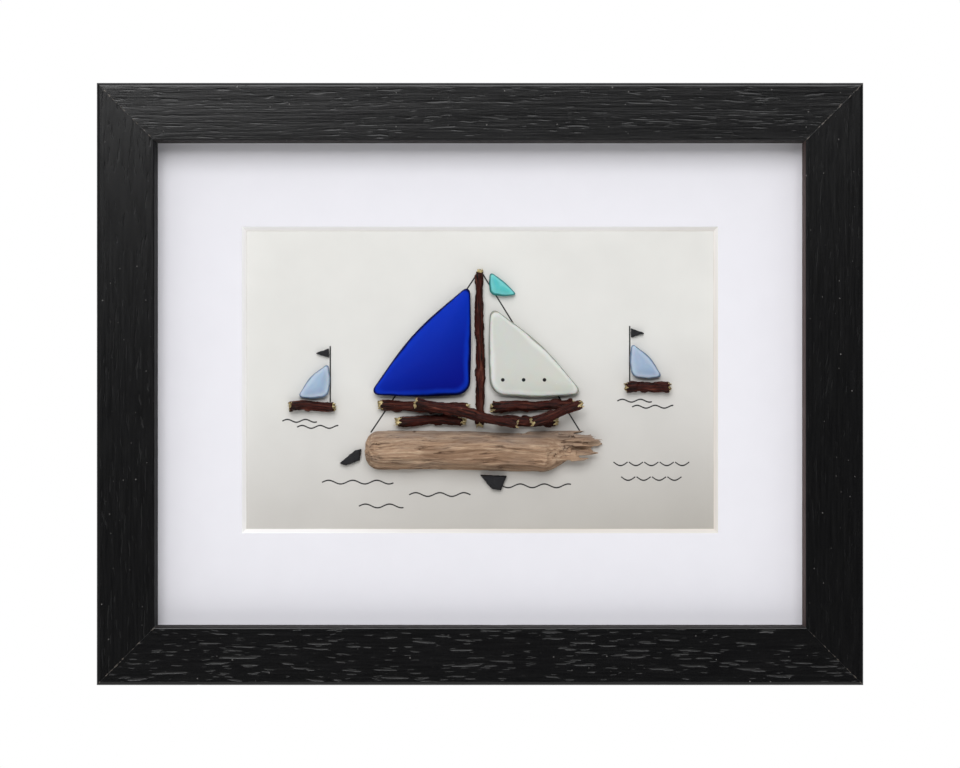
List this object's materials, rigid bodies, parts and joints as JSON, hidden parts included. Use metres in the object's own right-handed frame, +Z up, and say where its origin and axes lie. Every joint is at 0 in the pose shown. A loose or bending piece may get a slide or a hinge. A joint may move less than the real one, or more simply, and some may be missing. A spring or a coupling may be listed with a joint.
{
  "type": "framed sea glass picture",
  "caption": "Rectangular black wooden frame around a white window mat, with a recessed sailing scene of frosted sea glass, driftwood and twigs; hangs on a wall.",
  "frame": {"origin": "middle of the top rail's flat back face, which rests on the wall", "axes": "+X to the viewer's right, +Y into the wall, so the picture faces -Y, +Z up"},
  "size_m": [0.2264, 0.02, 0.1779],
  "materials": {
    "frame_wood": "black stained open-grain wood, satin",
    "mat_board": "white mat board, matt",
    "art_card": "off-white card, matt",
    "back_board": "brown fibre board, matt",
    "hanger_steel": "bright plated steel",
    "driftwood": "weathered bare driftwood, matt",
    "twig_bark": "dark red-brown bark with pale snapped ends",
    "slate": "dark grey slate, matt",
    "white_glass": "frosted white sea glass",
    "cobalt_glass": "frosted cobalt sea glass",
    "pale_blue_glass": "frosted pale blue sea glass",
    "teal_glass": "frosted teal sea glass"
  },
  "bodies": {
    "root": {"frame_rail_top": "frame_wood", "frame_rail_bottom": "frame_wood", "frame_rail_left": "frame_wood", "frame_rail_right": "frame_wood", "window_mat": "mat_board", "backing_card": "art_card", "back_board": "back_board", "sawtooth_hanger": "hanger_steel", "hanger_pin_left": "hanger_steel", "hanger_pin_right": "hanger_steel", "fixing_tab_top_1": "hanger_steel", "fixing_tab_top_2": "hanger_steel", "fixing_tab_bottom_1": "hanger_steel", "fixing_tab_bottom_2": "hanger_steel", "fixing_tab_left": "hanger_steel", "fixing_tab_right": "hanger_steel", "driftwood_hull": "driftwood", "deck_twig_left": "twig_bark", "deck_twig_right": "twig_bark", "boom_twig_left": "twig_bark", "boom_twig_right": "twig_bark", "cross_twig_long": "twig_bark", "cross_twig_short": "twig_bark", "mast_twig": "twig_bark", "left_dinghy_twig": "twig_bark", "right_dinghy_twig": "twig_bark", "slate_rudder": "slate", "slate_keel": "slate", "left_dinghy_flag": "slate", "right_dinghy_flag": "slate", "white_jib": "white_glass", "cobalt_mainsail": "cobalt_glass", "left_dinghy_sail": "pale_blue_glass", "right_dinghy_sail": "pale_blue_glass", "teal_pennant": "teal_glass"}
  },
  "joints": []
}
